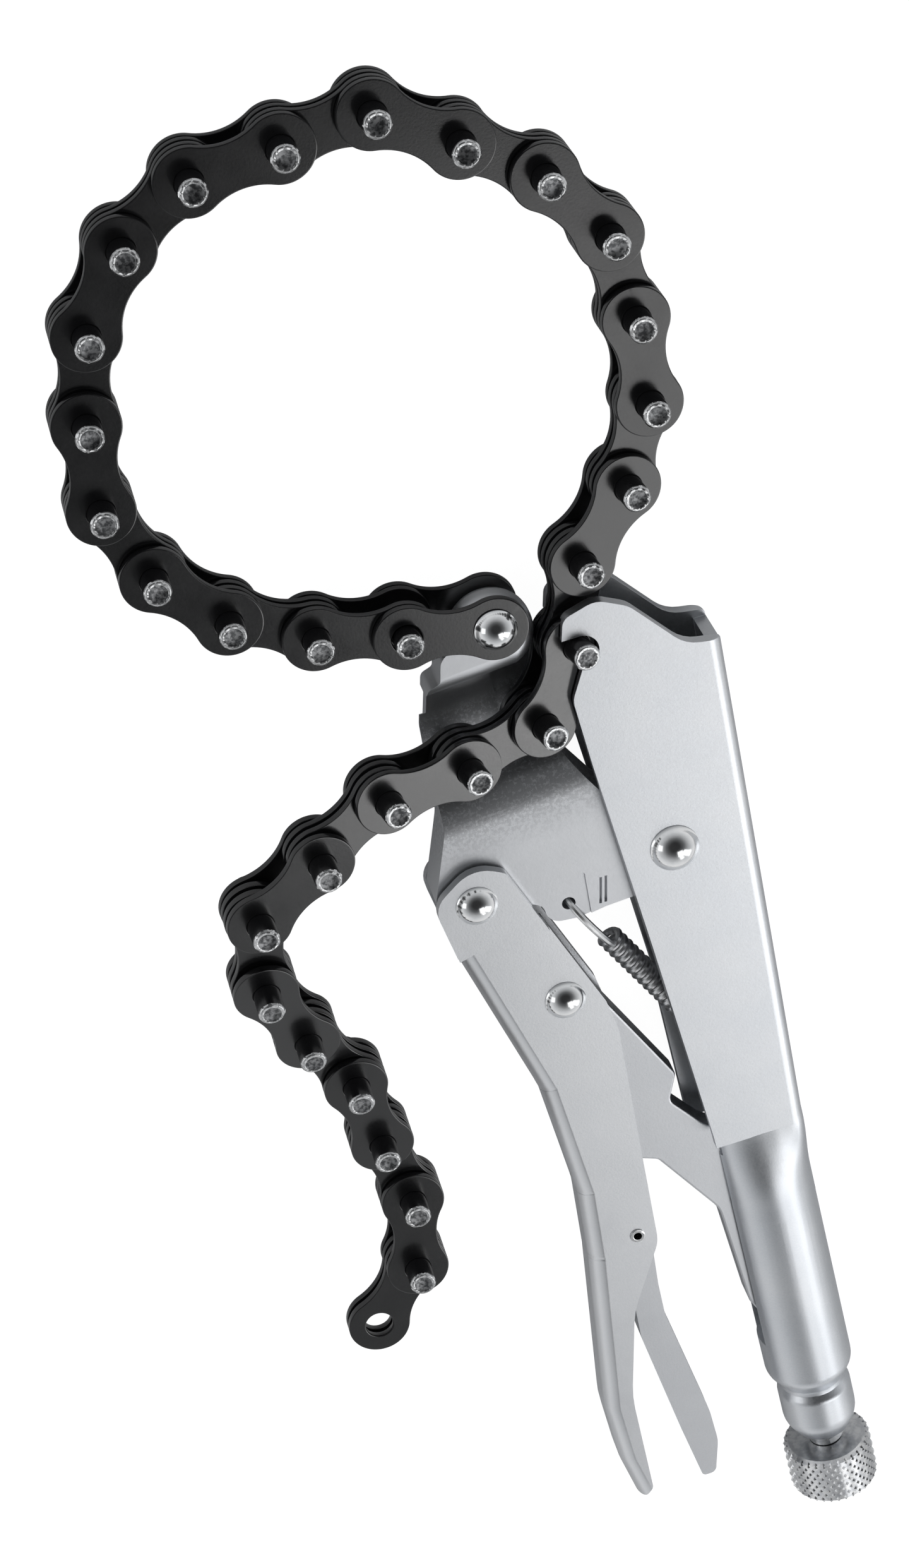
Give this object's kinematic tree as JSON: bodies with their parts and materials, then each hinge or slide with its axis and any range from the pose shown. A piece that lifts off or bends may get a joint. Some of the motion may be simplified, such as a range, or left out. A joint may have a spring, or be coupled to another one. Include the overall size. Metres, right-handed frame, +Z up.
{
  "type": "locking chain wrench",
  "caption": "Locking chain wrench: toggle lever and screw-adjusted grip, hinged jaw with a hooked chain loop that grips pipes, tail of chain with an end eye",
  "frame": {"origin": "middle of the footprint of the tool lying flat, at the bench surface", "axes": "+Z up along the chain pins and rivets; +Y from the grip to the chain loop; +X away from the lever's side"},
  "size_m": [0.1088, 0.3212, 0.0284],
  "materials": {
    "plated_steel": "satin nickel plate",
    "cast_steel": "satin nickel plate over a forging",
    "rivet_steel": "polished rivet head",
    "pin_steel": "dark pin with a bare end",
    "black_oxide": "black oxide",
    "knob_steel": "knurled, bright",
    "screw_steel": "rolled thread, bright",
    "spring_steel": "drawn spring wire"
  },
  "bodies": {
    "handle": {"fixed_handle": "plated_steel", "main_rivet": "rivet_steel"},
    "jaw": {"jaw": "cast_steel", "anchor_rivet": "rivet_steel", "return_spring": "spring_steel"},
    "lever": {"lever": "plated_steel", "jaw_rivet": "rivet_steel", "link_rivet": "rivet_steel", "release_pin": "rivet_steel"},
    "toggle_link": {"toggle_link": "plated_steel"},
    "release_lever": {"release_lever": "plated_steel"},
    "adjusting_screw": {"adjusting_screw": "screw_steel"},
    "knob": {"knurled_knob": "knob_steel"},
    "link_02": {"outer_plates_02": "black_oxide", "pins_02": "pin_steel"},
    "link_03": {"inner_link_03": "black_oxide"},
    "link_04": {"outer_plates_04": "black_oxide", "pins_04": "pin_steel"},
    "link_05": {"inner_link_05": "black_oxide"},
    "link_06": {"outer_plates_06": "black_oxide", "pins_06": "pin_steel"},
    "link_07": {"inner_link_07": "black_oxide"},
    "link_08": {"outer_plates_08": "black_oxide", "pins_08": "pin_steel"},
    "link_09": {"inner_link_09": "black_oxide"},
    "link_10": {"outer_plates_10": "black_oxide", "pins_10": "pin_steel"},
    "link_11": {"inner_link_11": "black_oxide"},
    "link_12": {"outer_plates_12": "black_oxide", "pins_12": "pin_steel"},
    "link_13": {"inner_link_13": "black_oxide"},
    "link_14": {"outer_plates_14": "black_oxide", "pins_14": "pin_steel"},
    "link_15": {"inner_link_15": "black_oxide"},
    "link_16": {"outer_plates_16": "black_oxide", "pins_16": "pin_steel"},
    "link_17": {"inner_link_17": "black_oxide"},
    "link_18": {"outer_plates_18": "black_oxide", "pins_18": "pin_steel"},
    "link_19": {"inner_link_19": "black_oxide"},
    "link_20": {"outer_plates_20": "black_oxide", "pins_20": "pin_steel"},
    "link_21": {"inner_link_21": "black_oxide"},
    "link_22": {"outer_plates_22": "black_oxide", "pins_22": "pin_steel"},
    "link_23": {"inner_link_23": "black_oxide"},
    "link_24": {"outer_plates_24": "black_oxide", "pins_24": "pin_steel"},
    "link_25": {"inner_link_25": "black_oxide"},
    "link_26": {"outer_plates_26": "black_oxide", "pins_26": "pin_steel"},
    "link_27": {"inner_link_27": "black_oxide"},
    "link_28": {"outer_plates_28": "black_oxide", "pins_28": "pin_steel"},
    "link_29": {"inner_link_29": "black_oxide"},
    "link_30": {"outer_plates_30": "black_oxide", "pins_30": "pin_steel"},
    "link_31": {"end_link_31": "black_oxide"},
    "anchor_link": {"anchor_link": "black_oxide"}
  },
  "joints": [
    {"name": "jaw_pivot", "type": "hinge", "parent": "handle", "child": "jaw", "pos_m": [0.03369, 0.00462, 0.0092], "axis": [0, 0, 1], "range_deg": [0, 2.44]},
    {"name": "lever_pivot", "type": "hinge", "parent": "jaw", "child": "lever", "pos_m": [-0.00431, 0.00512, 0.0092], "axis": [0, 0, -1], "range_deg": [0, 30]},
    {"name": "toggle_link_pivot", "type": "hinge", "parent": "lever", "child": "toggle_link", "pos_m": [0.00729, -0.02188, 0.0092], "axis": [0, 0, 1], "range_deg": [0, 36.55]},
    {"name": "chain_pivot_01", "type": "hinge", "parent": "jaw", "child": "anchor_link", "pos_m": [0.01169, 0.05812, 0.0092], "axis": [0, 0, 1], "range_deg": [-1.75, 0.05]},
    {"name": "chain_pivot_02", "type": "hinge", "parent": "anchor_link", "child": "link_02", "pos_m": [-0.00384, 0.06142, 0.0092], "axis": [0, 0, 1], "range_deg": [-1.81, 0.05]},
    {"name": "chain_pivot_03", "type": "hinge", "parent": "link_02", "child": "link_03", "pos_m": [-0.01918, 0.06553, 0.0092], "axis": [0, 0, 1], "range_deg": [-0.05, 3.55]},
    {"name": "chain_pivot_04", "type": "hinge", "parent": "link_03", "child": "link_04", "pos_m": [-0.03293, 0.07346, 0.0092], "axis": [0, 0, 1], "range_deg": [-0.05, 4.2]},
    {"name": "chain_pivot_05", "type": "hinge", "parent": "link_04", "child": "link_05", "pos_m": [-0.04313, 0.08563, 0.0092], "axis": [0, 0, 1], "range_deg": [-0.05, 3.94]},
    {"name": "chain_pivot_06", "type": "hinge", "parent": "link_05", "child": "link_06", "pos_m": [-0.0483, 0.10064, 0.0092], "axis": [0, 0, 1], "range_deg": [-2.44, 0.05]},
    {"name": "chain_pivot_07", "type": "hinge", "parent": "link_06", "child": "link_07", "pos_m": [-0.04636, 0.11639, 0.0092], "axis": [0, 0, 1], "range_deg": [-3.57, 0.05]},
    {"name": "chain_pivot_08", "type": "hinge", "parent": "link_07", "child": "link_08", "pos_m": [-0.04199, 0.13165, 0.0092], "axis": [0, 0, 1], "range_deg": [-3.48, 0.05]},
    {"name": "chain_pivot_09", "type": "hinge", "parent": "link_08", "child": "link_09", "pos_m": [-0.03243, 0.14433, 0.0092], "axis": [0, 0, 1], "range_deg": [-2.34, 0.05]},
    {"name": "chain_pivot_10", "type": "hinge", "parent": "link_09", "child": "link_10", "pos_m": [-0.01869, 0.15227, 0.0092], "axis": [0, 0, 1], "range_deg": [-0.05, 2.21]},
    {"name": "chain_pivot_11", "type": "hinge", "parent": "link_10", "child": "link_11", "pos_m": [-0.00285, 0.15338, 0.0092], "axis": [0, 0, 1], "range_deg": [-0.05, 2.62]},
    {"name": "chain_pivot_12", "type": "hinge", "parent": "link_11", "child": "link_12", "pos_m": [0.01299, 0.15448, 0.0092], "axis": [0, 0, 1], "range_deg": [-0.05, 2.72]},
    {"name": "chain_pivot_13", "type": "hinge", "parent": "link_12", "child": "link_13", "pos_m": [0.02599, 0.14538, 0.0092], "axis": [0, 0, 1], "range_deg": [-0.05, 2.44]},
    {"name": "chain_pivot_14", "type": "hinge", "parent": "link_13", "child": "link_14", "pos_m": [0.0385, 0.1356, 0.0092], "axis": [0, 0, 1], "range_deg": [-1.96, 0.05]},
    {"name": "chain_pivot_15", "type": "hinge", "parent": "link_14", "child": "link_15", "pos_m": [0.04691, 0.12214, 0.0092], "axis": [0, 0, 1], "range_deg": [-2.93, 0.05]},
    {"name": "chain_pivot_16", "type": "hinge", "parent": "link_15", "child": "link_16", "pos_m": [0.0483, 0.10633, 0.0092], "axis": [0, 0, 1], "range_deg": [-2.35, 0.05]},
    {"name": "chain_pivot_17", "type": "hinge", "parent": "link_16", "child": "link_17", "pos_m": [0.04747, 0.09047, 0.0092], "axis": [0, 0, 1], "range_deg": [-0.05, 3.09]},
    {"name": "chain_pivot_18", "type": "hinge", "parent": "link_17", "child": "link_18", "pos_m": [0.04026, 0.07633, 0.00945], "axis": [0.0698, 0, 0.9976], "range_deg": [-0.05, 2.38]},
    {"name": "chain_pivot_19", "type": "hinge", "parent": "link_18", "child": "link_19", "pos_m": [0.02926, 0.06491, 0.01022], "axis": [0.0698, 0, 0.9976], "range_deg": [-0.05, 1.75]},
    {"name": "chain_pivot_20", "type": "hinge", "parent": "handle", "child": "link_20", "pos_m": [0.02438, 0.04981, 0.01073], "axis": [-0.1564, 0, -0.9877], "range_deg": [-1.5, 2]},
    {"name": "chain_pivot_21", "type": "hinge", "parent": "link_20", "child": "link_21", "pos_m": [0.01539, 0.03681, 0.01216], "axis": [-0.1564, 0, -0.9877], "range_deg": [-1.5, 3]},
    {"name": "chain_pivot_22", "type": "hinge", "parent": "link_21", "child": "link_22", "pos_m": [0.00001, 0.0346, 0.01543], "axis": [-0.1564, 0.0175, -0.9875], "range_deg": [-1.5, 5]},
    {"name": "chain_pivot_23", "type": "hinge", "parent": "link_22", "child": "link_23", "pos_m": [-0.01567, 0.0346, 0.01791], "axis": [-0.1564, 0.0175, -0.9875], "range_deg": [-1.5, 8]},
    {"name": "chain_pivot_24", "type": "hinge", "parent": "link_23", "child": "link_24", "pos_m": [-0.02977, 0.0274, 0.01901], "axis": [-0.0521, 0.0872, -0.9948], "range_deg": [-1.5, 10]},
    {"name": "chain_pivot_25", "type": "hinge", "parent": "link_24", "child": "link_25", "pos_m": [-0.0434, 0.01926, 0.01901], "axis": [-0.0521, 0.0872, -0.9948], "range_deg": [0, 15.05]},
    {"name": "chain_pivot_26", "type": "hinge", "parent": "link_25", "child": "link_26", "pos_m": [-0.04588, 0.00373, 0.01683], "axis": [0, 0.1908, -0.9816], "range_deg": [-2, 12]},
    {"name": "chain_pivot_27", "type": "hinge", "parent": "link_26", "child": "link_27", "pos_m": [-0.04124, -0.01117, 0.01393], "axis": [0, 0.1908, -0.9816], "range_deg": [-2, 12]},
    {"name": "chain_pivot_28", "type": "hinge", "parent": "link_27", "child": "link_28", "pos_m": [-0.03504, -0.02561, 0.01165], "axis": [0, 0.1045, -0.9945], "range_deg": [-2, 12]},
    {"name": "chain_pivot_29", "type": "hinge", "parent": "link_28", "child": "link_29", "pos_m": [-0.03338, -0.04131, 0.01], "axis": [0, 0.1045, -0.9945], "range_deg": [-2, 12]},
    {"name": "chain_pivot_30", "type": "hinge", "parent": "link_29", "child": "link_30", "pos_m": [-0.03089, -0.05698, 0.00945], "axis": [0, 0, -1], "range_deg": [-2, 12]},
    {"name": "chain_pivot_31", "type": "hinge", "parent": "link_30", "child": "link_31", "pos_m": [-0.03365, -0.07261, 0.00945], "axis": [0, 0, -1], "range_deg": [-10, 20]},
    {"name": "release_pivot", "type": "hinge", "parent": "lever", "child": "release_lever", "pos_m": [0.00939, -0.08038, 0.0092], "axis": [0, 0, -1], "range_deg": [0, 6]},
    {"name": "screw_feed", "type": "slide", "parent": "handle", "child": "adjusting_screw", "axis": [0, -1, 0], "range_m": [0, 0.003]},
    {"name": "knob_turn", "type": "hinge", "parent": "adjusting_screw", "child": "knob", "pos_m": [0.03769, -0.15438, 0.0092], "axis": [0, -1, 0], "range_deg": [0, 720.5]}
  ],
  "couplings": [
    {"joint": "jaw_pivot", "follows": "lever_pivot", "ratio": 0.07963},
    {"joint": "toggle_link_pivot", "follows": "lever_pivot", "ratio": 1.2149},
    {"joint": "chain_pivot_01", "follows": "lever_pivot", "ratio": -0.0567},
    {"joint": "chain_pivot_02", "follows": "lever_pivot", "ratio": -0.0586},
    {"joint": "chain_pivot_03", "follows": "lever_pivot", "ratio": 0.1167},
    {"joint": "chain_pivot_04", "follows": "lever_pivot", "ratio": 0.1384},
    {"joint": "chain_pivot_05", "follows": "lever_pivot", "ratio": 0.1295},
    {"joint": "chain_pivot_06", "follows": "lever_pivot", "ratio": -0.0796},
    {"joint": "chain_pivot_07", "follows": "lever_pivot", "ratio": -0.1172},
    {"joint": "chain_pivot_08", "follows": "lever_pivot", "ratio": -0.1144},
    {"joint": "chain_pivot_09", "follows": "lever_pivot", "ratio": -0.0764},
    {"joint": "chain_pivot_10", "follows": "lever_pivot", "ratio": 0.0721},
    {"joint": "chain_pivot_11", "follows": "lever_pivot", "ratio": 0.0857},
    {"joint": "chain_pivot_12", "follows": "lever_pivot", "ratio": 0.089},
    {"joint": "chain_pivot_13", "follows": "lever_pivot", "ratio": 0.0795},
    {"joint": "chain_pivot_14", "follows": "lever_pivot", "ratio": -0.0636},
    {"joint": "chain_pivot_15", "follows": "lever_pivot", "ratio": -0.0961},
    {"joint": "chain_pivot_16", "follows": "lever_pivot", "ratio": -0.0768},
    {"joint": "chain_pivot_17", "follows": "lever_pivot", "ratio": 0.1014},
    {"joint": "chain_pivot_18", "follows": "lever_pivot", "ratio": 0.0775},
    {"joint": "chain_pivot_19", "follows": "lever_pivot", "ratio": 0.0566},
    {"joint": "chain_pivot_25", "follows": "lever_pivot", "ratio": 0.5},
    {"joint": "knob_turn", "follows": "screw_feed", "rad_per_m": 4188.8}
  ]
}
